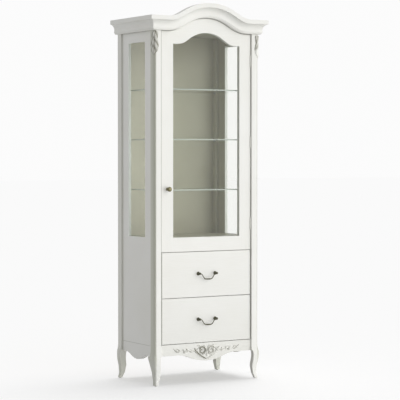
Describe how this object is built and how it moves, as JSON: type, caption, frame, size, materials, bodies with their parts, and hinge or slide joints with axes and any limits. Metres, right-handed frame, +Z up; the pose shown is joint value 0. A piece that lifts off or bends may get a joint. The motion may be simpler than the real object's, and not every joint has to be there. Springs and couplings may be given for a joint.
{
  "type": "glass display cabinet",
  "caption": "Tall ivory display cabinet on curved legs, with an arched cornice and glazed door, glazed sides, glass shelves and drawers with bail handles below.",
  "frame": {"origin": "on the floor under the middle of the cabinet's bounding box", "axes": "+Z up along the height, +Y to the back along the depth, +X to the right seen from the front"},
  "size_m": [0.72, 0.4502, 1.9999],
  "materials": {
    "ivory_paint": "satin ivory lacquer on wood",
    "carved_ivory": "ivory lacquer with grey patina in the recesses",
    "inner_paint": "satin cream lacquer on board",
    "bare_wood": "clear matt varnish on beech",
    "clear_glass": "clear polished float glass",
    "antique_brass": "darkened antique brass",
    "ivory_metal": "ivory lacquer on steel",
    "steel": "bright zinc plate",
    "nylon": "plain nylon"
  },
  "bodies": {
    "carcass": {"apron_carving": "carved_ivory", "arched_rail": "ivory_paint", "back_panel": "inner_paint", "back_panel_screws": "steel", "bottom_board": "bare_wood", "catch_magnet": "steel", "ceiling_board": "inner_paint", "cornice_front": "ivory_paint", "cornice_left": "ivory_paint", "cornice_packings": "bare_wood", "cornice_right": "ivory_paint", "cross_rail": "inner_paint", "display_floor": "inner_paint", "drawer_rail": "bare_wood", "drawer_runners": "bare_wood", "foot_glides": "nylon", "front_apron": "ivory_paint", "front_left_post": "ivory_paint", "front_right_post": "ivory_paint", "header_board": "inner_paint", "hinge_pins": "ivory_metal", "left_side_apron": "ivory_paint", "left_side_glass": "clear_glass", "left_side_panel": "ivory_paint", "lower_shelf": "clear_glass", "middle_shelf": "clear_glass", "post_carvings": "carved_ivory", "post_hinge_leaves": "ivory_metal", "rear_apron": "bare_wood", "rear_left_post": "ivory_paint", "rear_right_post": "ivory_paint", "right_side_apron": "ivory_paint", "right_side_glass": "clear_glass", "right_side_panel": "ivory_paint", "shelf_pins": "steel", "side_glass_beads": "ivory_paint", "top_cap": "ivory_paint", "upper_shelf": "clear_glass"},
    "door": {"catch_plate": "steel", "door_bottom_rail": "ivory_paint", "door_glass": "clear_glass", "door_glass_beads": "ivory_paint", "door_hinge_leaves": "ivory_metal", "door_knob": "antique_brass", "door_left_stile": "ivory_paint", "door_right_stile": "ivory_paint", "door_top_rail": "ivory_paint", "knob_screw": "steel"},
    "upper_drawer": {"upper_drawer_back": "bare_wood", "upper_drawer_bottom": "bare_wood", "upper_drawer_front": "ivory_paint", "upper_drawer_sides": "bare_wood", "upper_handle_posts": "antique_brass"},
    "lower_drawer": {"lower_drawer_back": "bare_wood", "lower_drawer_bottom": "bare_wood", "lower_drawer_front": "ivory_paint", "lower_drawer_sides": "bare_wood", "lower_handle_posts": "antique_brass"},
    "upper_bail": {"upper_bail": "antique_brass"},
    "lower_bail": {"lower_bail": "antique_brass"}
  },
  "joints": [
    {"name": "door_hinge", "type": "hinge", "parent": "carcass", "child": "door", "pos_m": [0.2751, -0.1799, 1.27], "axis": [0, 0, 1], "range_deg": [0, 110]},
    {"name": "upper_drawer_slide", "type": "slide", "parent": "carcass", "child": "upper_drawer", "axis": [0, -1, 0], "range_m": [0, 0.26]},
    {"name": "lower_drawer_slide", "type": "slide", "parent": "carcass", "child": "lower_drawer", "axis": [0, -1, 0], "range_m": [0, 0.26]},
    {"name": "upper_bail_swing", "type": "hinge", "parent": "upper_drawer", "child": "upper_bail", "pos_m": [0, -0.195, 0.57825], "axis": [-1, 0, 0], "range_deg": [-28, 85]},
    {"name": "lower_bail_swing", "type": "hinge", "parent": "lower_drawer", "child": "lower_bail", "pos_m": [0, -0.195, 0.33675], "axis": [-1, 0, 0], "range_deg": [-28, 85]}
  ]
}
